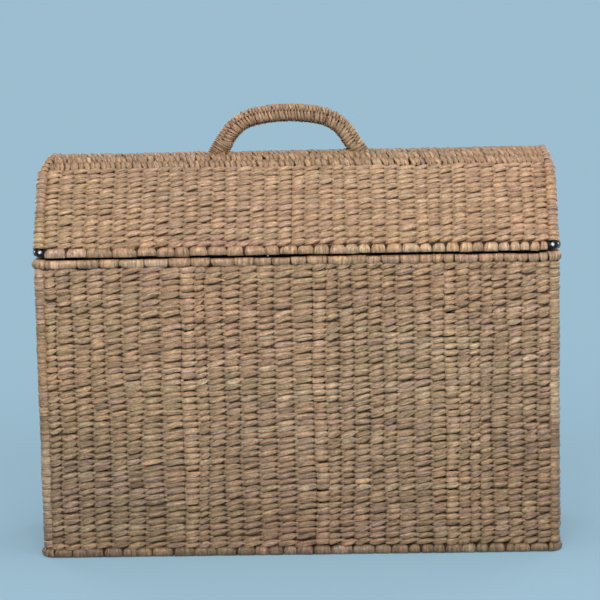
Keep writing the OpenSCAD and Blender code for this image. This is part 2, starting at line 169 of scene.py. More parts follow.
def rush_skin(name, centre, across, outward, half_wide, half_thick, tint, shade, rng,
              closed=False, ring=12, pleat=0.2, square=0.9, edge=1.0, level=(0.0, 1.0)):
    """Skins a batch of strands, each a chain of flattened rings with pleats along the leaf.

    Each point keeps its leaf's tint, with painted shade in its alpha, which darkens towards the
    edges of the leaf. Heights are held inside level, where a turn is pressed flat.
    """
    strands, steps = centre.shape[:2]
    turn = np.arange(ring) * 2 * np.pi / ring
    walk = np.linalg.norm(np.diff(centre, axis=1), axis=2)
    along = np.concatenate([np.zeros((strands, 1)), np.cumsum(walk, axis=1)], axis=1)
    phase = rng.uniform(0, 2 * np.pi, (strands, 1, 2))
    twist_per_metre = rng.normal(0, 25, (strands, 1))
    bend = along * twist_per_metre
    if closed:
        bend = bend * 0
    folds = np.cos(3 * turn + (phase[..., 0] + bend)[..., None])
    folds = folds + 0.7 * np.cos(5 * turn + (phase[..., 1] - bend)[..., None])
    round_out = 1 + pleat * folds
    wide = np.sign(np.cos(turn)) * np.abs(np.cos(turn)) ** 0.9
    thick = np.sign(np.sin(turn)) * np.abs(np.sin(turn)) ** square
    wide = half_wide[..., None] * wide * (0.5 + 0.5 * round_out)
    thick = half_thick[..., None] * thick * round_out
    points = (
        centre[:, :, None, :]
        + across[:, :, None, :] * wide[..., None]
        + outward[:, :, None, :] * thick[..., None]
    )
    points[..., 2] = np.clip(points[..., 2], *level)
    spans = steps if closed else steps - 1
    strand, step, side = np.meshgrid(
        np.arange(strands), np.arange(spans), np.arange(ring), indexing="ij"
    )
    quad_corners = ((0, 0), (0, 1), (1, 1), (1, 0))

    def vertex(at_step, at_side):
        return (strand * steps + at_step % steps) * ring + at_side % ring

    quads = [vertex(step + ahead, side + beside) for ahead, beside in quad_corners]
    quads = np.stack(quads, axis=-1).reshape(-1, 4)

    # On the map for baking each strand has its own strip, with its two end caps beside it
    girth = 2 * (half_wide.mean() + half_thick.mean()) * 1.3
    slender = max(along[:, -1].mean() / girth, 0.05)
    columns = max(1, int(round(math.sqrt(strands / slender))))
    lines = math.ceil(strands / columns)

    def bake_place(at_step, at_side):
        left = (strand % columns) / columns + (0.01 + 0.98 * at_step / spans) / columns
        low = (strand // columns) / lines + (0.03 + 0.9 * at_side / ring) / lines
        return np.stack([left, low], axis=-1)

    corner_map = [bake_place(step + ahead, side + beside) for ahead, beside in quad_corners]
    corner_map = np.stack(corner_map, axis=-2).reshape(-1, 2)
    corners = quads.ravel()
    starts = np.arange(len(quads)) * 4
    smooth = np.ones(len(quads), bool)
    if not closed:
        number = np.arange(strands)
        first = number[:, None] * steps * ring + np.arange(ring)[::-1]
        last = (number[:, None] * steps + steps - 1) * ring + np.arange(ring)
        caps = np.concatenate([first, last])
        cap_left = (np.tile(number, 2) % columns) / columns
        cap_left = cap_left + np.repeat([0.2, 0.7], strands) / columns
        cap_left = cap_left[:, None] + 0.01 * np.cos(turn) / columns
        cap_low = (np.tile(number, 2) // columns) / lines
        cap_low = cap_low[:, None] + (0.965 + 0.012 * np.sin(turn)) / lines
        cap_map = np.stack([cap_left, cap_low], axis=-1).reshape(-1, 2)
        starts = np.concatenate([starts, len(corners) + np.arange(len(caps)) * ring])
        corners = np.concatenate([corners, caps.ravel()])
        corner_map = np.concatenate([corner_map, cap_map])
        smooth = np.concatenate([smooth, np.zeros(len(caps), bool)])

    mesh = bpy.data.meshes.new(name)
    mesh.vertices.add(strands * steps * ring)
    fill(mesh.vertices, "co", points)
    mesh.loops.add(len(corners))
    fill(mesh.loops, "vertex_index", corners, np.int32)
    mesh.polygons.add(len(starts))
    fill(mesh.polygons, "loop_start", starts, np.int32)
    fill(mesh.polygons, "use_smooth", smooth, bool)
    mesh.update(calc_edges=True)
    fill(mesh.uv_layers.new(name="OFBake", do_init=False).uv, "vector", corner_map)
    colour = np.concatenate([tint, shade[..., None]], axis=-1)
    colour = np.repeat(colour[:, :, None, :], ring, axis=2)
    # Painted shade: the colour darkens towards the side edges of each strand, where rows and
    # turns meet
    colour[..., 3] *= 1 - edge * np.abs(np.cos(turn)) ** 6
    fill(mesh.attributes.new("tint", "FLOAT_COLOR", "POINT").data, "color", colour)
    girth_way = turn / (2 * np.pi) * girth
    girth_way = np.minimum(girth_way, girth - girth_way)
    own_number = rng.uniform(0, 1, (strands, 1, 1))
    shape = (strands, steps, ring)
    fibre = [np.broadcast_to(way, shape) for way in (along[:, :, None], girth_way, own_number)]
    fibre = np.stack(fibre, axis=-1)
    fill(mesh.attributes.new("strand", "FLOAT_VECTOR", "POINT").data, "vector", fibre)
    piece = bpy.data.objects.new(name, mesh)
    put_in_scene(piece)
    return piece


def fix_piece(piece, body, slot, material, *nodes):
    """Gives a piece its material and its body, and hides the CAD nodes that it stands for; its
    finish, the slot, is not used.
    """
    piece.data.materials.append(material)
    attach(piece, body)
    if nodes:
        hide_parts(*nodes)


# Dry rush leaf: straw, with pinkish, olive, bleached and brown leaves among it
leaf_kinds = np.array([
    srgb(192, 156, 124),
    srgb(187, 151, 119),
    srgb(189, 153, 130),
    srgb(184, 154, 119),
    srgb(202, 171, 140),
    srgb(176, 142, 111),
])
leaf_shares = [0.34, 0.26, 0.15, 0.12, 0.08, 0.05]


def leaf_tints(rng, lead, count, change):
    """Colours for chains of stitches: a leaf lasts some stitches before the next is laid in."""
    size = lead + (count,)
    number = np.cumsum(rng.random(size) < change, axis=-1) % count
    kind = rng.choice(len(leaf_kinds), size=size, p=leaf_shares)
    kind = np.take_along_axis(kind, number, axis=-1)
    light = np.take_along_axis(rng.normal(1, 0.055, size), number, axis=-1)
    light = light * rng.normal(1, 0.05, size)
    return leaf_kinds[kind] * light[..., None]


def smooth_step(share):
    """Eases a share from 0 to 1, level at both ends."""
    return share * share * (3 - 2 * share)


def weathered_and_shaded(point):
    """Slow drift of tone over the trunk: bleached, olive or warm parts, and painted shade towards
    the foot.
    """
    shade_low = 30 * mm
    shade_height = 200 * mm
    warmer = np.array([0.012, -0.004, -0.016])
    greener = np.array([-0.008, 0.008, -0.01])
    flow_ways = np.array([[9.0, -5.0, 17.0], [4.0, 7.0, -6.0], [13.0, 21.0, 5.0]])
    flow_start = np.array([0.4, 2.0, 4.1])
    flow = point @ flow_ways + flow_start
    wave = np.sin(flow) + 0.6 * np.sin(2.3 * np.roll(flow, 1, axis=-1) + 1.0)
    # Painted shade: the colour is darkened by up to a fifth towards the foot, where less light
    # falls
    lit_share = smooth_step(np.clip((point[..., 2:] - shade_low) / shade_height, 0, 1))
    light = (1 + 0.03 * wave[..., :1]) * (0.8 + 0.2 * lit_share)
    hue = wave[..., 1:2] * warmer + wave[..., 2:] * greener
    return light + hue


def unit(vectors):
    """Vectors of length 1 in the same directions."""
    return vectors / np.linalg.norm(vectors, axis=-1, keepdims=True)


def strand_ways(centre, out, closed=False):
    """Directions across strands and out from them, square to the way they run."""
    if closed:
        ahead = np.roll(centre, -1, axis=-2) - np.roll(centre, 1, axis=-2)
    else:
        ahead = np.gradient(centre, axis=-2)
    ahead = unit(ahead)
    outward = unit(out - ahead * np.sum(out * ahead, axis=-1, keepdims=True))
    return np.cross(outward, ahead), outward


def twined(names, surface, crossings, edges, reach, half_thick, seed, splits=(), lift=0.0,
           closed=False, uneven=1.0, lean=0.23, cover=0.42, tip=0.25, sink=0.0, tone=1.0,
           mixed=0.85):
    """Twines rows between the given edges over stakes that stand between the given crossings.

    Lift, lean, tip and tone are one value or one for each stake: how far its stitches stand
    out, how steeply they climb, how wide their ends are and how light they are. Cover is how
    much longer a strand stays in front than behind, and mixed how unlike the leaves are. Rows
    that end are sunk by sink there, and splits cut the panel into the named pieces.
    """
    rng = np.random.default_rng(seed)
    stakes = len(crossings) - 1
    rows = len(edges) - 1

    # Places along a row, counted in stakes from the middle of the first one
    stations = np.array([-0.5, -0.42, -0.31, -0.17, 0.0, 0.17, 0.31, 0.42])
    place = (np.arange(stakes)[:, None] + stations).ravel()
    if not closed:
        place = np.append(place, stakes - 0.5)
    low = np.floor(place).astype(int) + 1
    ease = smooth_step(place - np.floor(place))
    near = np.floor(place + 0.5).astype(int) + 1

    def eased(values):
        return values[..., low] * (1 - ease) + values[..., low + 1] * ease

    def at_stakes(values):
        return eased(np.pad(np.broadcast_to(values, stakes), 1, mode="edge"))

    def wander(size):
        values = rng.normal(0, 1, (rows, 2, stakes + 2))
        values = size * np.clip(values * (0.6 + 0.3 * values ** 2), -2.4, 2.4)
        if closed:
            values[..., 0] = values[..., stakes]
            values[..., stakes + 1] = values[..., 1]
        return eased(values)

    # Where each strand runs: the stakes drift a little, and stitches differ in length
    along = np.interp(place, np.arange(stakes + 1) - 0.5, crossings)
    along = along + np.gradient(along) * np.sin(2 * np.pi * place) * uneven * wander(0.33)
    taper = 0 * place
    if not closed:
        drift_size = 0.085 * np.diff(crossings).mean()
        drift_rows = 9
        ends = np.clip(np.stack([0.5 - place, place - stakes + 1.5]), 0, 1).sum(axis=0)
        drift = rng.normal(0, 1, (rows + drift_rows - 1, stakes + 2))
        drift = sum(drift[row:row + rows] for row in range(drift_rows)) / 3
        stray = uneven * eased(drift)[:, None] * (1 - ends) + 0.7 * wander(1.0) * ends
        along = along + drift_size * stray
        taper = ends ** 4

    # How each strand climbs across its row and passes from the front to the back
    turn = np.pi * (place + np.arange(2)[:, None])
    front = np.abs(np.cos(turn))
    square_climb = 0.96
    level_ends = 0.8
    thin_ends = 0.3
    widest = 0.55
    dive = 1.7
    lag = 0.12 * np.pi
    climb = np.arcsin(square_climb * np.sin(turn)) / math.asin(square_climb)
    pitch = np.diff(edges)[:, None, None]
    middle = ((edges[1:] + edges[:-1]) / 2)[:, None, None]
    swell = 1 + uneven * wander(0.08)
    steep = at_stakes(lean) * (1 - level_ends * taper)
    rise = pitch * climb * steep * (1 + uneven * wander(0.2))
    up = middle + rise + pitch * uneven * wander(0.1)
    far = np.tanh(dive * (np.cos(turn - lag) + cover))
    depth = reach * far * (1 + uneven * wander(0.09))
    depth = depth + far * at_stakes(lift) - sink * taper
    point, out = surface(along, up)
    centre = point + out * depth[..., None]
    across, outward = strand_ways(centre, out, closed)
    blunt = at_stakes(tip)
    half_wide = pitch * (blunt + (widest - blunt) * front ** 0.5) * swell
    half_wide = half_wide * (1 - thin_ends * taper)
    half_deep = half_thick * (0.75 + 0.25 * front) * (1 + uneven * wander(0.07))

    tint = leaf_tints(rng, (rows, 2), stakes + 2, change=0.22)
    tint = leaf_kinds[0] + mixed * (tint - leaf_kinds[0])
    if closed:
        tint[..., 0, :] = tint[..., stakes, :]
    tint = tint[..., near, :] * weathered_and_shaded(point) * at_stakes(tone)[:, None]
    # Painted highlight and shade: each stitch is tinted lighter at its crest and darker where it
    # turns behind
    tint = tint * (0.94 + 0.12 * front[..., None] ** 3)
    # Painted shade: a strand is darkened where it passes behind the stakes
    shade = np.broadcast_to(np.clip(1.6 * np.abs(far) + 0.15, 0, 1), half_wide.shape)

    def as_strands(values):
        return values.reshape(rows * 2, len(place), *values.shape[3:])

    strand_parts = (centre, across, outward, half_wide, half_deep, tint, shade)
    made = []
    for name, start, stop in zip(names, [0, *splits], [*splits, stakes]):
        cut = slice(start * len(stations), stop * len(stations) + (0 if closed else 1))
        cut_parts = [as_strands(values)[:, cut] for values in strand_parts]
        made.append(rush_skin(name, *cut_parts, rng, closed=closed, pleat=0.12, edge=0.85))
    return made


def rush_effect():
    """Node group: fibre streaks and blotches of dry leaf along each strand, and painted shade in
    its hollows.
    """
    group = bpy.data.node_groups.new("rush_leaf", "ShaderNodeTree")
    face = group.interface
    for label in ("Streak", "Blotch", "Hollow Shade"):
        face.new_socket(label, in_out="INPUT", socket_type="NodeSocketFloat")
    face.new_socket("Colour", in_out="OUTPUT", socket_type="NodeSocketColor")
    face.new_socket("Roughness", in_out="OUTPUT", socket_type="NodeSocketFloat")
    face.new_socket("Height", in_out="OUTPUT", socket_type="NodeSocketFloat")
    start = add_node(group, "NodeGroupInput")
    end = add_node(group, "NodeGroupOutput")
    link = group.links.new
    tint = add_node(group, "ShaderNodeAttribute", {"attribute_name": "tint"})
    strand = add_node(group, "ShaderNodeAttribute", {"attribute_name": "strand"})

    def streaks(scale, detail):
        spread = add_node(group, "ShaderNodeVectorMath", {"operation": "MULTIPLY"})
        spread.inputs[1].default_value = scale
        noise = add_node(group, "ShaderNodeTexNoise", Scale=1.0, Detail=detail, Roughness=0.6)
        link(strand.outputs["Vector"], spread.inputs[0])
        link(spread.outputs["Vector"], noise.inputs["Vector"])
        return noise.outputs["Fac"]

    fine = streaks((90, 1000, 900), 3.0)
    broad = streaks((25, 330, 500), 2.0)
    blotch = streaks((420, 600, 300), 2.0)

    def remap(noise, low, high):
        noise_span = (0.28, 0.72)
        return stretched(group, noise, noise_span, (low, high))

    def blend(kind, factor, first, second):
        made = add_node(group, "ShaderNodeMix", {"data_type": "RGBA", "blend_type": kind})
        link(factor, made.inputs["Factor"])
        for socket, value in ((made.inputs["A"], first), (made.inputs["B"], second)):
            if isinstance(value, tuple):
                socket.default_value = value
            else:
                link(value, socket)
        return made.outputs["Result"]

    def grey(value):
        made = add_node(group, "ShaderNodeCombineColor")
        for channel in ("Red", "Green", "Blue"):
            link(value, made.inputs[channel])
        return made.outputs["Color"]

    dark_stain = (0.4, 0.25, 0.08, 1)
    pale_stain = (1.58, 1.42, 1.18, 1)
    hollow_shade_brown = (*srgb(74, 48, 24), 1)
    streak = start.outputs["Streak"]
    colour = blend("MULTIPLY", streak, tint.outputs["Color"], grey(remap(fine, 0.2, 1.8)))
    colour = blend("MULTIPLY", streak, colour, grey(remap(broad, 0.52, 1.42)))
    stain = blend("MIX", remap(blotch, 0.0, 1.0), dark_stain, pale_stain)
    colour = blend("MULTIPLY", start.outputs["Blotch"], colour, stain)
    # Painted shade: where the shade in the tint's alpha is low, the colour is mixed towards dark
    # brown
    hollow_shade = add_node(group, "ShaderNodeMath", {"operation": "SUBTRACT"})
    hollow_shade.inputs[0].default_value = 1.0
    link(tint.outputs["Alpha"], hollow_shade.inputs[1])
    hollow_shade_mix = add_node(group, "ShaderNodeMath", {"operation": "MULTIPLY", "use_clamp": True})
    link(hollow_shade.outputs["Value"], hollow_shade_mix.inputs[0])
    link(start.outputs["Hollow Shade"], hollow_shade_mix.inputs[1])
    colour = blend("MIX", hollow_shade_mix.outputs["Value"], colour, hollow_shade_brown)
    height = add_node(group, "ShaderNodeMath", {"operation": "ADD"})
    link(remap(fine, 0.0, 0.9), height.inputs[0])
    link(remap(broad, 0.0, 0.8), height.inputs[1])
    link(colour, end.inputs["Colour"])
    link(remap(fine, 0.56, 0.14), end.inputs["Roughness"])
    link(height.outputs["Value"], end.inputs["Height"])
    return group


rush_leaf = rush_effect()


def rush_material(name, streak, blotch, hollow_shade, relief, shine):
    """A rush finish: the leaf effect with its own strengths, on a dry, faintly shiny surface."""
    material, tree, shader = new_material(name, shine)
    link = tree.links.new
    leaf = add_node(tree, "ShaderNodeGroup", {"node_tree": rush_leaf})
    for label, strength in (("Streak", streak), ("Blotch", blotch), ("Hollow Shade", hollow_shade)):
        leaf.inputs[label].default_value = strength
    ridges = add_node(tree, "ShaderNodeBump", Strength=relief, Distance=1.5 * mm)
    link(leaf.outputs["Colour"], shader.inputs["Base Color"])
    link(leaf.outputs["Roughness"], shader.inputs["Roughness"])
    link(leaf.outputs["Height"], ridges.inputs["Height"])
    link(ridges.outputs["Normal"], shader.inputs["Normal"])
    return material


def row_edges(rng, low, high, count, spread):
    """Row edges of slightly unequal height."""
    heights = np.clip(rng.normal(1, spread, count), 0.8, 1.25)
    return low + np.concatenate([[0], np.cumsum(heights)]) * (high - low) / heights.sum()


def bay_crossings(rng, start, stop, count, narrow, wide):
    """Crossings between the stakes of one bay, whose spacing grows from narrow to wide."""
    widths = np.linspace(narrow, wide, count) * np.clip(rng.normal(1, 0.09, count), 0.8, 1.2)
    return start + np.concatenate([[0], np.cumsum(widths)]) * (stop - start) / widths.sum()


up_way = np.array([0.0, 0.0, 1.0])


def side_ways(turn):
    """Directions along a side of the trunk and out of it: turn 0 is the front."""
    ahead = np.array([math.cos(turn), math.sin(turn), 0])
    out = np.array([math.sin(turn), -math.cos(turn), 0])
    return ahead, out


def wall_surface(turn, distance):
    """An upright wall on the side that the turn names, with rows that waver slightly."""
    ahead, out = side_ways(turn)

    def surface(along, up):
        ripple = 0.9 * mm * np.sin(11 * along + 0.9 * np.sin(23 * up))
        ripple = ripple + 0.6 * mm * np.sin(29 * along + 17 * up)
        point = along[..., None] * ahead + out * distance
        point = point + (up + ripple)[..., None] * up_way
        return point, np.broadcast_to(out, point.shape)

    return surface


woven_rush = rush_material(
    "woven_rush", streak=0.65, blotch=0.4, hollow_shade=0.8, relief=0.6, shine=0.4
)
wall_foot = 10.2 * mm
wall_top = 335.6 * mm
wall_rows = 46
row_spread = 0.05
rim_x = 293.8 * mm
rim_y = 93.8 * mm
half_long = 286.8 * mm
half_short = 86.8 * mm
end_sink = 2.4 * mm
wall_reach = 2.9 * mm
strand_thick = 2.15 * mm
body_tone = 0.96
before_upright = 4.5 * mm
before_end_upright = 6 * mm
wall_stakes = {}

# Stakes in each bay of the long walls, and the first and last spacing in the bay in millimetres
bays = ((8, 12.5, 20.0), (8, 12.5, 19.0), (9, 12.5, 18.5), (8, 11.0, 13.0))
bay_counts = [count for count, narrow, wide in bays]
splits = list(np.cumsum(bay_counts)[:-1])
lift = np.zeros(sum(bay_counts))
lean = np.repeat([0.27, 0.25, 0.25, 0.25], bay_counts)
tone = np.full(sum(bay_counts), body_tone)

# The ends of the stitches are blunter where the stakes stand wider
narrow_tip = 0.17
wide_tips = [0.1 + wide / 115 for count, narrow, wide in bays]
tip = np.concatenate([
    np.linspace(narrow_tip, wide_tip, count) for wide_tip, count in zip(wide_tips, bay_counts)
])

# The stitches over an iron upright stand out, run level and are tinted lighter, a painted
# highlight for the light they catch
lift[splits] = 1.2 * mm
lean[splits] = 0.1
tip[splits] = 0.38
tone[splits] = 1.12

for side, turn, seed in (("front", 0.0, 11), ("rear", math.pi, 12)):
    rng = np.random.default_rng(seed)
    uprights = [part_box(f"{side}_upright_{which}") for which in ("left", "middle", "right")]
    facing = 1 if side == "front" else -1
    places = sorted(facing * (low[0] + high[0]) / 2 for low, high in uprights)
    joints = [-half_long, *(place - before_upright for place in places), half_long]
    crossings = [-half_long]
    for start, stop, bay in zip(joints, joints[1:], bays):
        crossings.extend(bay_crossings(rng, start, stop, *bay)[1:])
    edges = row_edges(rng, wall_foot, wall_top, wall_rows, row_spread)
    surface = wall_surface(turn, rim_y)
    wall_stakes[side] = (surface, crossings, splits)
    panels = twined(
        [f"{side}_weave_bay_{number}" for number in range(1, 5)],
        surface, np.array(crossings), edges, wall_reach, strand_thick, seed + 10,
        splits=splits, lift=lift, lean=lean, tip=tip, sink=end_sink, tone=tone,
    )
    for panel in panels:
        fix_piece(panel, "body", "rush_weave", woven_rush, f"{side}_weave")

end_upright = 5
end_lift = np.zeros(11)
end_lift[end_upright] = 1.0 * mm
for side, turn, seed in (("right", math.pi / 2, 13), ("left", -math.pi / 2, 14)):
    rng = np.random.default_rng(seed)
    crossings = np.concatenate([
        bay_crossings(rng, -half_short, -before_end_upright, 5, 14.0, 19.0),
        bay_crossings(rng, -before_end_upright, half_short, 6, 11.0, 19.0)[1:],
    ])
    edges = row_edges(rng, wall_foot, wall_top, wall_rows, row_spread)
    surface = wall_surface(turn, rim_x)
    wall_stakes[side] = (surface, crossings, [end_upright])
    wall = twined(
        [f"{side}_end_weave"], surface, crossings, edges, wall_reach, strand_thick, seed + 10,
        lift=end_lift, sink=end_sink, tone=body_tone,
    )[0]
    fix_piece(wall, "body", "rush_weave", woven_rush, f"{side}_weave")

# STAKES
# Flat bundles of rush that the rows are twined over. They stand close together from rim to rim
# inside the walls and show only in the small gaps, tinted dark as painted shade.


def stake_bands(name, surface, places, low, high, seed):
    """Flat bundles that stand at the given places between two heights."""
    rng = np.random.default_rng(seed)
    steps = 20
    up = np.broadcast_to(np.linspace(low, high, steps), (len(places), steps))
    along = np.broadcast_to(np.asarray(places)[:, None], up.shape)
    point, out = surface(along, up)
    across, outward = strand_ways(point, out)
    half_wide = 3.4 * mm * rng.normal(1, 0.05, up.shape)
    half_thick = np.full(up.shape, 0.9 * mm)
    # Painted shade: the bundles are tinted darker and held low in shade, so they mix towards
    # brown
    tint = np.repeat(leaf_tints(rng, (len(places),), 1, 0.5) * 0.6, steps, axis=1)
    shade = np.full(up.shape, 0.35)
    return rush_skin(
        name, point, across, outward, half_wide, half_thick, tint, shade, rng, ring=8, edge=0.0
    )


def between(crossings, left_out=()):
    """Places of the stakes and of the fillers between them, clear of the iron uprights."""
    crossings = np.asarray(crossings)
    middle = (crossings[1:] + crossings[:-1]) / 2
    first = crossings[0] * 0.93 + crossings[1] * 0.07
    last = crossings[-1] * 0.93 + crossings[-2] * 0.07
    return np.concatenate([np.delete(middle, list(left_out)), crossings[1:-1], [first, last]])


for side, (surface, crossings, iron) in wall_stakes.items():
    places = between(crossings, iron)
    stakes = stake_bands(f"{side}_stakes", surface, places, wall_foot, wall_top, 31)
    fix_piece(stakes, "body", "rush_weave", woven_rush)

# FLOOR
# One mat of rush, twined like the walls but in coarser and more even stitches. It is worked
# round the three floor bars and tied to the base rods on all sides.

base_z = 5.6 * mm
floor_x = 286 * mm
floor_y = 86.5 * mm


def floor_surface(along, up):
    """The level floor: along runs from left to right, and up from the front to the back."""
    point = np.stack([along, up, np.full(along.shape, base_z)], axis=-1)
    return point, np.broadcast_to(up_way, point.shape)


rng = np.random.default_rng(15)
floor_crossings = bay_crossings(rng, -floor_x, floor_x, 30, 19.0, 19.0)
floor_edges = row_edges(rng, -floor_y, floor_y, 18, row_spread)
mats = twined(
    ["floor_weave_left", "floor_weave_right"], floor_surface, floor_crossings, floor_edges,
    wall_reach, strand_thick, 25, splits=[15],
)
for mat in mats:
    fix_piece(mat, "body", "rush_weave", woven_rush, "floor_weave")

# RIM AND CORNER WRAPPING OF THE BODY
# Flattened leaves are wound side by side round the rim rods and the corner posts, each turn
# drawn tight, with its ends tucked under on the side where the weave meets the rod.


def wrapped(name, path, turns, core, half_thick, seed, change=0.45, ring=12, loose=1.0,
            cover=1.02, tone=1.0, groove_shade=0.75, level=(0.0, 1.0)):
    """Winds separate turns round a rod; each turn has its own start and stop along the path.

    Change is how often the leaf changes, loose how unlike the turns are, cover how far a turn
    laps its neighbours and groove_shade how much painted shade darkens the line between two
    turns.
    """
    rng = np.random.default_rng(seed)
    count = len(turns)
    steps = 22
    tuck = 0.12
    half_thick = np.reshape(half_thick, (-1, 1))
    middle = turns.mean(axis=1)[:, None]
    width = (turns[:, 1] - turns[:, 0])[:, None]
    angle = np.broadcast_to(np.linspace(tuck, 2 * np.pi - tuck, steps), (count, steps))
    sway = np.minimum(width, 7 * mm)
    lean = rng.normal(0, 0.05 * loose, (count, 1)) + 0.03
    shift = sway * lean * np.sin(angle - np.pi)
    shift = shift + sway * 0.03 * loose * np.sin(2 * angle + rng.uniform(0, 6, (count, 1)))
    point, ahead, inner = path(middle + shift)
    other = np.cross(ahead, inner)
    out = inner * np.cos(angle)[..., None] + other * np.sin(angle)[..., None]
    tucked = np.abs(np.cos(angle / 2))
    bulge = rng.normal(0, 0.16 * loose, (count, 1)) * half_thick
    radius = core + half_thick * 0.92 + bulge
    radius = radius - (half_thick * 0.8) * tucked ** 8
    centre = point + out * radius[..., None]
    across, outward = strand_ways(centre, out)
    waist = np.minimum(0.24 * width, 2.6 * mm) * tucked ** 8
    half_wide = width / 2 * rng.normal(cover, 0.02 * loose, (count, 1)) - waist
    half_deep = half_thick * np.ones((count, steps)) * rng.normal(1, 0.06 * loose, (count, 1))
    tint = np.repeat(leaf_tints(rng, (1,), count, change)[0][:, None, :], steps, axis=1)
    tint = tint * weathered_and_shaded(point) * tone
    # Painted shade: each turn is darkened towards its tucked ends, on the inner side where it
    # meets the rod
    shade = 1 - 0.6 * tucked ** 10
    return rush_skin(
        name, centre, across, outward, half_wide, half_deep, tint, shade, rng, ring=ring,
        pleat=0.1, square=0.42, edge=groove_shade, level=level,
    )


def sleeved(name, path, start, stop, radius, pleat):
    """A close sleeve along a path: a dark layer of painted shade under the turns on a rod, or the
    rod itself.
    """
    rng = np.random.default_rng(56)
    point, ahead, inner = path(np.linspace(start, stop, 90)[None])
    half = np.full(point.shape[:2], radius)
    # Painted shade: the sleeve is tinted near-black brown, for the shade in the gaps between
    # turns
    tint = np.broadcast_to(leaf_kinds[5] * 0.14, point.shape)
    shade = np.full(half.shape, 0.8)
    across = np.cross(ahead, inner)
    return rush_skin(
        name, point, across, inner, half, half, tint, shade, rng, ring=16, pleat=pleat, edge=0.0
    )


def turn_edges(rng, start, stop, width, spread):
    """Cuts a run of rod into uneven turns, of one width or of a first and a last width."""
    count = max(1, int(round((stop - start) / np.mean(width))))
    widths = np.linspace(np.min(width), np.max(width), count)
    widths = widths * np.clip(rng.normal(1, spread, count), 0.55, 1.7)
    if np.ptp(width) and width[0] > width[1]:
        widths = widths[::-1]
    edges = start + np.concatenate([[0], np.cumsum(widths)]) * (stop - start) / widths.sum()
    return np.stack([edges[:-1], edges[1:]], axis=1)


def straight_path(start, ahead, inner):
    """A straight rod from a start point; turns begin on the inner side."""

    def path(way):
        point = start + way[..., None] * ahead
        return point, np.broadcast_to(ahead, point.shape), np.broadcast_to(inner, point.shape)

    return path


def bend_path(corner_x, corner_y, height, inner):
    """The quarter bend of a rim rod at the corner that the two signs name."""
    start = math.atan2(corner_y, corner_x) - math.pi / 4
    middle = np.array([corner_x * side_x, corner_y * side_y, height])

    def path(way):
        angle = start + way / bend_r
        radial = np.stack([np.cos(angle), np.sin(angle), 0 * angle], axis=-1)
        ahead = np.stack([-np.sin(angle), np.cos(angle), 0 * angle], axis=-1)
        return middle + bend_r * radial, ahead, np.broadcast_to(inner, ahead.shape)

    return path


wrapped_rush = rush_material(
    "wrapped_rush", streak=0.65, blotch=0.4, hollow_shade=0.6, relief=0.7, shine=0.45
)
hidden_rush = rush_material(
    "hidden_rush", streak=0.6, blotch=0.4, hollow_shade=0.7, relief=0.5, shine=0.05
)
bend_r = 10 * mm
side_x = 283.8 * mm
side_y = 83.8 * mm
post_x = 290.871 * mm
post_y = 90.871 * mm
post_inset = 1.2 * mm
post_splay = 0.003
post_foot = 11.0 * mm
post_top = 334.8 * mm
rod_r = 4 * mm
shade_lining_r = 4.6 * mm
shade_lining_pleat = 0.03
wrap_thick = 1.25 * mm
body_rim_z = 339.8 * mm
hinge_x = 215 * mm
hinge_gap = 7.6 * mm
seam_low = 344.7 * mm
down_way = -up_way
long_sides = ("front", "rear")
side_turns = {"front": 0.0, "right": math.pi / 2, "rear": math.pi, "left": -math.pi / 2}


def rim_turns(rng, half, width, spread, hinged):
    """Turns along one side of a rim, with room left for the hinge loops on a hinged side."""
    runs = [(-half, half)]
    if hinged:
        inner = hinge_x - hinge_gap
        outer = hinge_x + hinge_gap
        runs = [(-half, -outer), (-inner, inner), (outer, half)]
    return np.concatenate([turn_edges(rng, start, stop, width, spread) for start, stop in runs])


def rim_path(side, height, inner):
    """The straight rod of one side of a rim, from its middle."""
    ahead, out = side_ways(side_turns[side])
    away = rim_y if side in long_sides else rim_x
    return straight_path(out * away + height * up_way, ahead, inner)


for number, side in enumerate(side_turns):
    rng = np.random.default_rng(41 + number)
    half = (side_x if side in long_sides else side_y) - 0.3 * mm
    rim_width = (27 * mm, 12 * mm) if side == "front" else 16 * mm
    turns = rim_turns(rng, half, rim_width, spread=0.18, hinged=side == "rear")
    pressed = seam_low + np.clip(rng.normal(0, 0.4, (len(turns), 1, 1)), -0.8, 0.6) * mm
    rim = rim_path(side, body_rim_z, down_way)
    rim_wrap = wrapped(
        f"{side}_rim_wrap", rim, turns, rod_r, wrap_thick, 51 + number, groove_shade=0.5,
        level=(0.0, pressed),
    )
    fix_piece(rim_wrap, "body", "rush_wrap", wrapped_rush, f"body_rim_wrap_{side}")
    shade_lining = sleeved(f"{side}_rim_shade_lining", rim, -half, half, shade_lining_r, shade_lining_pleat)
    fix_piece(shade_lining, "body", "rush_wrap", hidden_rush)
    turns = rim_turns(rng, half, 19 * mm, spread=0.28, hinged=False)
    base = rim_path(side, base_z, up_way)
    # The base wraps are tinted darker, partly for soiling and partly as painted shade near the
    # floor
    base_wrap = wrapped(
        f"{side}_base_wrap", base, turns, rod_r, wrap_thick, 61 + number, tone=0.72
    )
    fix_piece(base_wrap, "body", "rush_wrap", wrapped_rush, f"base_wrap_{side}")
    shade_lining = sleeved(f"{side}_base_lining", base, -half, half, shade_lining_r, shade_lining_pleat)
    fix_piece(shade_lining, "body", "rush_wrap", hidden_rush)

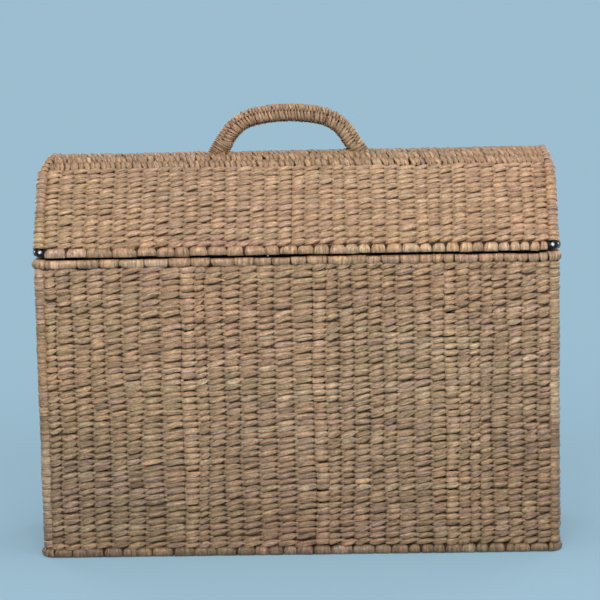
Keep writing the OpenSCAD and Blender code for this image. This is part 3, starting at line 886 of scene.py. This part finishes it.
for corner_y, long_name in ((-1, "front"), (1, "rear")):
    for corner_x, short_name in ((-1, "left"), (1, "right")):
        corner = f"{long_name}_{short_name}"
        node = f"corner_wrap_{corner}"
        seed = 71 + 2 * corner_y + corner_x
        rng = np.random.default_rng(seed)
        inside = unit(np.array([-corner_x, -corner_y, 0.0]))
        foot = np.array([corner_x * post_x, corner_y * post_y, 0]) + post_inset * inside
        post = straight_path(foot, unit(up_way - post_splay * inside), inside)
        turns = turn_edges(rng, post_foot, post_top, width=8 * mm, spread=0.12)
        post_wrap = wrapped(
            f"post_wrap_{corner}", post, turns, rod_r, 1.5 * mm, seed + 10, change=0.2, ring=10,
            loose=0.8, cover=1.1, groove_shade=0.25,
        )
        fix_piece(post_wrap, "body", "rush_wrap", wrapped_rush, node)
        # The base bends are tinted darker, partly for soiling and partly as painted shade near
        # the floor
        for label, height, inner, bend_tone in (
            ("top", body_rim_z, down_way, 1.0),
            ("base", base_z, up_way, 0.74),
        ):
            bend = bend_path(corner_x, corner_y, height, inner)
            bend_start = 0.2 * mm
            bend_stop = math.pi / 2 * bend_r - bend_start
            turns = turn_edges(rng, bend_start, bend_stop, width=4.2 * mm, spread=0.1)
            bend_wrap = wrapped(
                f"{label}_bend_wrap_{corner}", bend, turns, rod_r, wrap_thick, seed + 20,
                cover=1.6, tone=bend_tone,
            )
            fix_piece(bend_wrap, "body", "rush_wrap", wrapped_rush, node)

# LID SLOPES
# The front and the back of the lid are twined like the walls, in rows of much the same height,
# from the wrapped lid rim up a gently bowed slope to the ridge rods.

lid_rush = rush_material(
    "lid_rush", streak=0.65, blotch=0.4, hollow_shade=0.55, relief=0.6, shine=0.4
)
lid_z = 352.6 * mm
slope_y = 250.385 * mm
slope_z = 185.434 * mm
slope_r = 380 * mm
slope_foot = math.atan2(167.166, -341.256)
slope_head = math.atan2(253.166, -283.385)
slope_length = (slope_foot - slope_head) * slope_r
slope_start = 4.2 * mm
slope_stop = slope_length + 2.0 * mm


def drawn_in(point):
    """Draws the top corners of the lid inward, where the ridge rows pull on the end hoops."""
    foot = 433 * mm
    height = 21 * mm
    left_pull = -9.5
    right_pull = 5.5
    rise = np.clip((point[..., 2] - foot) / height, 0, 1.1)
    near = np.clip(np.abs(point[..., 0]) / post_x, 0, 1.1)
    pull = np.where(point[..., 0] < 0, left_pull, right_pull) * mm * rise ** 2 * near ** 8
    return point - pull[..., None] * np.array([1.0, 0, 0])


def slope_surface(turn):
    """The bowed slope of the lid, measured up from the rim rod."""
    ahead, level = side_ways(turn)

    def surface(along, up):
        ripple = 0.9 * mm * np.sin(9 * along + 31 * up) + 0.5 * mm * np.sin(37 * along)
        angle = slope_foot - (up + ripple) / slope_r
        out = -np.cos(angle)[..., None] * level + np.sin(angle)[..., None] * up_way
        middle = -slope_y * level + slope_z * up_way
        return drawn_in(along[..., None] * ahead + middle + slope_r * out), out

    return surface


for side, turn, seed in (("front", 0.0, 81), ("rear", math.pi, 82)):
    rng = np.random.default_rng(seed)
    crossings = bay_crossings(rng, -half_long, half_long, 37, 15.0, 15.5)
    edges = row_edges(rng, slope_start, slope_stop, 15, row_spread)
    surface = slope_surface(turn)
    panels = twined(
        [f"lid_{side}_weave_bay_{number}" for number in (1, 2)], surface, crossings, edges,
        wall_reach, strand_thick, seed + 2, splits=[18], uneven=0.75, tip=0.28, sink=end_sink,
        tone=0.94, mixed=0.65,
    )
    for panel in panels:
        fix_piece(panel, "lid", "rush_weave", lid_rush, f"lid_{side}_weave")
    places = between(crossings)
    stakes = stake_bands(f"lid_{side}_stakes", surface, places, 5 * mm, slope_length, 85)
    fix_piece(stakes, "lid", "rush_weave", woven_rush)

# RIDGE
# Across the top the rows turn: they run from the front ridge rod over the keel to the back
# ridge rod, so short upright stitches show along the crest.

ridge_r = 44.251 * mm
ridge_z = 409.12 * mm
ridge_half = math.radians(48.22)
ridge_end = 285.5 * mm
ridge_way = ridge_half * ridge_r


def ridge_surface(along, up):
    """The rounded ridge: along runs over it, and up runs from its right end to its left.

    The rows lie askew, more towards the right, and straighten at both ends.
    """
    most_skew = 0.16
    straighten = 40 * mm
    angle = along / ridge_r
    out = np.stack([0 * angle, np.sin(angle), np.cos(angle)], axis=-1)
    place = ridge_end - up
    skew = most_skew * np.clip(place / ridge_end + 0.3, 0, 1.3)
    fade = np.clip((ridge_end - np.abs(place)) / straighten, 0, 1)
    place = place - skew * fade * along
    point = np.stack([place, ridge_r * out[..., 1], ridge_z + ridge_r * out[..., 2]], axis=-1)
    return drawn_in(point), out


rng = np.random.default_rng(86)
ridge_crossings = np.linspace(-ridge_way, ridge_way, 7)
ridge_edges = row_edges(rng, 0, 2 * ridge_end, 94, spread=0.07)
# Painted shade: the crest, which faces the light from above, is tinted darker by its tone
crests = twined(
    ["ridge_weave_rear", "ridge_weave_front"], ridge_surface, ridge_crossings, ridge_edges,
    wall_reach, strand_thick, 87, splits=[3], lean=0.3, cover=0.3, tone=0.85, mixed=0.6,
)
for crest in crests:
    fix_piece(crest, "lid", "rush_weave", lid_rush, "ridge_weave")

# LID ENDS
# The two ends of the lid are twined in level rows inside the wrapped end hoops. Their stakes
# stand on the lid rim and draw together under the ridge, as the end narrows.

end_foot = 358.4 * mm
end_top = 448.5 * mm
end_stake_foot = 358 * mm
end_stake_top = 448 * mm


def lid_half(height):
    """Half the width of the lid end at a height, inside the wrapped hoop."""
    clear = 5.7 * mm
    narrowest = 4 * mm
    crown_foot = 436 * mm
    rise = np.clip((height - slope_z) / slope_r, -1, 1)
    slope = slope_r * np.sqrt(1 - rise ** 2) - slope_y - clear / np.sqrt(1 - rise ** 2)
    crown = (ridge_r - clear) ** 2 - (height - ridge_z) ** 2
    crown = np.sqrt(np.maximum(crown, narrowest ** 2))
    return np.where(height < crown_foot, slope, np.minimum(slope, crown))


def lid_end_surface(turn):
    """An end of the lid: along runs from -1 at one hoop side to 1 at the other."""
    ahead, out = side_ways(turn)

    def surface(along, up):
        point = (along * lid_half(up))[..., None] * ahead + out * post_x
        point = drawn_in(point + up[..., None] * up_way)
        return point, np.broadcast_to(out, point.shape)

    return surface


for side, turn, seed in (("right", math.pi / 2, 88), ("left", -math.pi / 2, 89)):
    rng = np.random.default_rng(seed)
    crossings = bay_crossings(rng, -1.0, 1.0, 10, 15.0, 17.0)
    edges = row_edges(rng, end_foot, end_top, 13, row_spread)
    surface = lid_end_surface(turn)
    end = twined(
        [f"lid_{side}_end_weave"], surface, crossings, edges, wall_reach, strand_thick, seed + 2
    )[0]
    fix_piece(end, "lid", "rush_weave", lid_rush, f"lid_{side}_weave")
    places = between(crossings)
    stakes = stake_bands(
        f"lid_{side}_end_stakes", surface, places, end_stake_foot, end_stake_top, 85
    )
    fix_piece(stakes, "lid", "rush_weave", woven_rush)

# LID WRAPPING
# The lid rim is wound in barrel-like turns between its bends, which stay bare, and the end
# hoops are wound in narrow turns over the ends of the rows, thinner over the ridge.

seam_high = 347.9 * mm
ridge_arc = 2 * ridge_way
hoop_length = 2 * slope_length + ridge_arc
hoop_clear = 4.3 * mm

for number, side in enumerate(side_turns):
    rng = np.random.default_rng(92 + number)
    half = 283.3 * mm if side in long_sides else 78.8 * mm
    rim_width = (23 * mm, 12.5 * mm) if side == "front" else 13 * mm
    turns = rim_turns(rng, half, rim_width, spread=0.14, hinged=side == "rear")
    pressed = seam_high + np.clip(rng.normal(0, 0.6, (len(turns), 1, 1)), -1.1, 0.8) * mm
    rim = rim_path(side, lid_z, up_way)
    rim_wrap = wrapped(
        f"lid_{side}_rim_wrap", rim, turns, rod_r, wrap_thick, 101 + number, tone=1.2, groove_shade=0.5,
        level=(pressed, 1.0),
    )
    fix_piece(rim_wrap, "lid", "rush_wrap", wrapped_rush, f"lid_rim_wrap_{side}")
    if side != "rear":
        shade_lining = sleeved(f"lid_{side}_rim_shade_lining", rim, -half, half, shade_lining_r, shade_lining_pleat)
        fix_piece(shade_lining, "lid", "rush_wrap", hidden_rush)


def hoop_path(corner_x):
    """The end hoop from the front rim over the ridge to the rear rim."""

    def path(way):
        rear = way > hoop_length / 2
        folded = np.where(rear, hoop_length - way, way)
        on_slope = folded < slope_length
        slope = slope_foot - folded / slope_r
        crown = math.pi / 2 + ridge_half - (folded - slope_length) / ridge_r
        face = np.where(on_slope, slope, crown)
        radius = np.where(on_slope, slope_r, ridge_r)
        level = np.where(on_slope, slope_y, 0) + radius * np.cos(face)
        height = np.where(on_slope, slope_z, ridge_z) + radius * np.sin(face)
        flip = np.where(rear, -1.0, 1.0)
        point = np.stack([np.full(way.shape, corner_x * post_x), flip * level, height], axis=-1)
        ahead = np.stack([0 * way, np.sin(face), -flip * np.cos(face)], axis=-1)
        inward = np.stack([0 * way - corner_x, -flip * np.cos(face), -np.sin(face)], axis=-1)
        return drawn_in(point), ahead, unit(inward)

    return path


for corner_x, side in ((-1, "left"), (1, "right")):
    rng = np.random.default_rng(111 + corner_x)
    hoop = hoop_path(corner_x)
    hoop_stop = hoop_length - hoop_clear
    turns = turn_edges(rng, hoop_clear, hoop_stop, width=6.2 * mm, spread=0.08)
    on_ridge = np.abs(turns.mean(axis=1) - hoop_length / 2) < ridge_arc / 2
    hoop_thick = np.where(on_ridge, 0.9, 1.4) * mm
    hoop_wrap = wrapped(
        f"lid_{side}_hoop_wrap", hoop, turns, rod_r, hoop_thick, 115 + corner_x, change=0.35,
        ring=10, cover=1.06, groove_shade=0.4,
    )
    fix_piece(hoop_wrap, "lid", "rush_wrap", wrapped_rush, f"lid_end_wrap_{side}")
    rod = sleeved(f"lid_{side}_hoop_rod", hoop, 0.0, hoop_length, rod_r, 0.0)
    fix_piece(rod, "lid", "iron", bare_paint, f"lid_hoop_{side}")

# HANDLE
# An arched iron core welded to the ridge keel, with a grip of rush twined round it in close
# rings and a tight winding of thin leaf at each foot.

handle_x = -9 * mm
crown_r = 189 * mm
crown_z = 312.87 * mm
crown_half = math.radians(11.5)
elbow_r = 49 * mm
leg_turn = math.radians(58)
leg_length = 21.4 * mm
crown_way = crown_half * crown_r
elbow_way = (leg_turn - crown_half) * elbow_r
half_handle = crown_way + elbow_way + leg_length
elbow_x = (crown_r - elbow_r) * math.sin(crown_half)
elbow_z = crown_z + (crown_r - elbow_r) * math.cos(crown_half)
foot_length = 15 * mm
foot_r = 9.3 * mm
foot_thick = 1.0 * mm
grip_r = 7.7 * mm
grip_reach = 1.9 * mm
grip_thick = 1.45 * mm
rear_way = np.array([0.0, 1.0, 0.0])


def handle_line(way):
    """The middle of the handle from its right foot: place, direction and upper side."""
    offset = half_handle - way
    side = np.sign(offset)
    run = np.abs(offset)
    on_crown = run < crown_way
    elbow = np.minimum(crown_half + (run - crown_way) / elbow_r, leg_turn)
    turn = np.where(on_crown, run / crown_r, elbow)
    radius = np.where(on_crown, crown_r, elbow_r)
    past = np.maximum(run - crown_way - elbow_way, 0)
    wide = np.where(on_crown, 0, elbow_x) + radius * np.sin(turn) + past * np.cos(turn)
    high = np.where(on_crown, crown_z, elbow_z) + radius * np.cos(turn) - past * np.sin(turn)
    point = np.stack([handle_x + side * wide, 0 * high, high], axis=-1)
    ahead = np.stack([-np.cos(turn), 0 * turn, side * np.sin(turn)], axis=-1)
    upper = np.stack([side * np.sin(turn), 0 * turn, np.cos(turn)], axis=-1)
    return point, ahead, upper


def grip_surface(along, up):
    """The skin of the grip: along runs round it, and up from the right foot to the left."""
    middle, _, upper = handle_line(up)
    out = upper * np.cos(along)[..., None] + np.sin(along)[..., None] * rear_way
    return middle + out * grip_r, out


def foot_path(way):
    """The handle as a rod to wind on; turns begin on its rear side."""
    point, ahead, _ = handle_line(way)
    return point, ahead, np.broadcast_to(rear_way, point.shape)


rng = np.random.default_rng(121)
grip_stop = 2 * half_handle - foot_length + 3 * mm
grip_edges = row_edges(rng, 2 * mm, grip_stop, 48, spread=0.08)
grip_crossings = math.radians(20) + np.arange(5) * math.pi / 2
# Painted shade: the grip, which faces the light from above, is tinted darker by its tone
grip = twined(
    ["handle_grip"], grip_surface, grip_crossings, grip_edges, grip_reach, grip_thick, 122,
    closed=True, lean=0.3, cover=0.12, tip=0.18, tone=0.87, mixed=0.8,
)[0]
fix_piece(grip, "lid", "rush_weave", lid_rush, "handle_weave")

for side, start, stop, width in (
    ("right", -9 * mm, 5 * mm, 3.5 * mm),
    ("left", 2 * half_handle - foot_length, 2 * half_handle + 9 * mm, 2.3 * mm),
):
    rng = np.random.default_rng(123)
    turns = turn_edges(rng, start, stop, width, spread=0.2)
    foot_wrap = wrapped(
        f"handle_foot_wrap_{side}_turns", foot_path, turns, foot_r, foot_thick, 124, change=0.3,
        ring=8, tone=0.8,
    )
    fix_piece(foot_wrap, "lid", "rush_wrap", wrapped_rush, f"handle_foot_wrap_{side}")

# LOOSE ENDS
# Split fibres and cut leaf tips that stand off the weave here and there, and two that hang
# from the front of the lid rim across the seam.


def loose_ends(name, surface, starts, turns, depth, seed):
    """Thin curled fibres that leave a surface at the given places in the given directions."""
    rng = np.random.default_rng(seed)
    grow = np.linspace(0, 1, 8)
    size = (len(starts), 1)
    bent = np.reshape(turns, size) + rng.normal(0, 0.5, size) * grow
    run = rng.uniform(6, 14, size) * mm * grow
    point, out = surface(starts[:, :1] + run * np.cos(bent), starts[:, 1:] + run * np.sin(bent))
    centre = point + out * (depth + rng.uniform(0.5, 4.0, size) * mm * grow ** 2)[..., None]
    across, outward = strand_ways(centre, out)
    half = rng.uniform(0.28, 0.5, size) * mm * (1 - 0.7 * grow)
    tint = np.repeat(leaf_tints(rng, size[:1], 1, 0.5) * 1.1, len(grow), axis=1)
    shade = np.ones(half.shape)
    return rush_skin(
        name, centre, across, outward, half, half, tint, shade, rng, ring=6, pleat=0.0
    )


rng = np.random.default_rng(131)
weave_skin = 4.2 * mm
rim_skin = 7.4 * mm
for label, body, surface, half, low, high, count in (
    ("front", "body", wall_surface(0.0, rim_y), 270, 20, 325, 34),
    ("rear", "body", wall_surface(math.pi, rim_y), 270, 20, 325, 30),
    ("right", "body", wall_surface(math.pi / 2, rim_x), 75, 20, 325, 10),
    ("left", "body", wall_surface(-math.pi / 2, rim_x), 75, 20, 325, 10),
    ("lid_front", "lid", slope_surface(0.0), 270, 12, 95, 20),
    ("lid_rear", "lid", slope_surface(math.pi), 270, 12, 95, 16),
):
    across = rng.uniform(-half, half, count) * mm
    height = rng.uniform(low, high, count) * mm
    starts = np.stack([across, height], axis=1)
    turns = rng.choice([0.3, math.pi + 0.3], count) + rng.normal(0, 0.6, count)
    ends = loose_ends(f"{label}_loose_ends", surface, starts, turns, weave_skin, 132)
    fix_piece(ends, body, "rush_weave", woven_rush)

hanging = np.array([[-76.0, 3.0], [67.0, 2.0]]) * mm
ends = loose_ends("seam_loose_ends", slope_surface(0.0), hanging, [-1.2, -1.9], rim_skin, 133)
fix_piece(ends, "lid", "rush_wrap", wrapped_rush)

# STUDIO
# A wide pale floor under even air, a soft key lamp high in front, a small lamp on each side of
# it, a broad top lamp and two broad lamps behind, at a plain level. A long lens looks from the
# height and distance of the photograph.

pale_blue = (*srgb(156, 190, 208), 1)


def seen_ray(tree):
    """1 where the camera, a gloss or a glass sees the background, 0 where it lights the trunk."""
    ray = add_node(tree, "ShaderNodeLightPath")
    seen = ray.outputs["Is Camera Ray"]
    for label in ("Is Glossy Ray", "Is Transmission Ray"):
        either = add_node(tree, "ShaderNodeMath", {"operation": "ADD", "use_clamp": True})
        tree.links.new(seen, either.inputs[0])
        tree.links.new(ray.outputs[label], either.inputs[1])
        seen = either.outputs["Value"]
    return seen


def shown(tree, share, lit, plain, end):
    """Shows the plain shader by the given share, and the lit one otherwise."""
    pick = add_node(tree, "ShaderNodeMixShader")
    tree.links.new(share, pick.inputs["Fac"])
    tree.links.new(lit, pick.inputs[1])
    tree.links.new(plain, pick.inputs[2])
    tree.links.new(pick.outputs["Shader"], tree.nodes[end].inputs["Surface"])


floor_half = 40
floor_mesh = bpy.data.meshes.new("studio_floor")
floor_mesh.from_pydata(
    [
        (-floor_half, -floor_half, 0),
        (floor_half, -floor_half, 0),
        (floor_half, floor_half, 0),
        (-floor_half, floor_half, 0),
    ],
    [],
    [(0, 1, 2, 3)],
)
floor = bpy.data.objects.new("studio_floor", floor_mesh)
put_in_scene(floor)
pale, tree, shader = new_material("pale_floor", 0.5)
shader.inputs["Base Color"].default_value = pale_blue
shader.inputs["Roughness"].default_value = 0.9
glow = add_node(tree, "ShaderNodeEmission", Color=pale_blue)
place = add_node(tree, "ShaderNodeTexCoord")
away = add_node(tree, "ShaderNodeVectorMath", {"operation": "LENGTH"})
tree.links.new(place.outputs["Object"], away.inputs[0])

# Near the trunk the floor keeps part of its own shading, so that the shadow shows
plain_share = stretched(tree, away.outputs["Value"], (0.35, 1.7), (0.45, 1), "SMOOTHSTEP")
share = add_node(tree, "ShaderNodeMath", {"operation": "MULTIPLY"})
tree.links.new(plain_share, share.inputs[0])
tree.links.new(seen_ray(tree), share.inputs[1])
shown(
    tree, share.outputs["Value"], shader.outputs["BSDF"], glow.outputs["Emission"],
    "Material Output",
)
floor_mesh.materials.append(pale)

world = bpy.data.worlds.new("studio_air")
world.use_nodes = True
tree = world.node_tree
air = tree.nodes["Background"]
air.inputs["Color"].default_value = (0.9, 0.94, 1.0, 1)
air.inputs["Strength"].default_value = 0.3
backdrop = add_node(tree, "ShaderNodeBackground", Color=pale_blue)
shown(
    tree, seen_ray(tree), air.outputs["Background"], backdrop.outputs["Background"],
    "World Output",
)
bpy.context.scene.world = world
bpy.context.scene.view_settings.view_transform = "Standard"

lamp_target = Vector((0, 0, 0.24))
for label, spot, size, watts in (
    ("key_lamp", (0.0, -1.6, 1.6), 0.8, 19.0),
    ("left_lamp", (-1.4, -1.7, 1.3), 0.35, 6.5),
    ("right_lamp", (1.4, -1.7, 1.3), 0.35, 11.0),
    ("top_lamp", (0.2, -0.2, 2.6), 1.4, 14.0),
    ("back_left_lamp", (-1.7, 1.9, 1.0), 1.2, 15.0),
    ("back_right_lamp", (1.7, 1.9, 1.0), 1.2, 15.0),
):
    lamp = bpy.data.lights.new(label, "AREA")
    lamp.size = size
    lamp.energy = watts
    holder = bpy.data.objects.new(label, lamp)
    holder.location = spot
    aim = lamp_target - Vector(spot)
    holder.rotation_euler = aim.to_track_quat("-Z", "Y").to_euler()
    put_in_scene(holder)

photo_size = 600
focal_pixels = 2258.0
film_width = 36
camera_distance = 2.6
camera_pitch = math.radians(8.1)
camera_yaw = math.radians(-1.5)
camera_roll = math.radians(-1.12)
camera_target = Vector((0.0029, -0.05, 0.2890))
look = Vector((math.sin(camera_yaw), math.cos(camera_yaw), -math.tan(camera_pitch))).normalized()
right = look.cross(Vector((0, 0, 1))).normalized()
above = right.cross(look)
tilted_right = right * math.cos(camera_roll) + above * math.sin(camera_roll)
tilted_above = above * math.cos(camera_roll) - right * math.sin(camera_roll)
lens = bpy.data.cameras.new("camera")
lens.sensor_fit = "HORIZONTAL"
lens.sensor_width = film_width
lens.lens = film_width * focal_pixels / photo_size
camera = bpy.data.objects.new("camera", lens)
spin = Matrix((tilted_right, tilted_above, -look)).transposed().to_4x4()
camera.matrix_world = Matrix.Translation(camera_target - look * camera_distance) @ spin
put_in_scene(camera)
bpy.context.scene.camera = camera
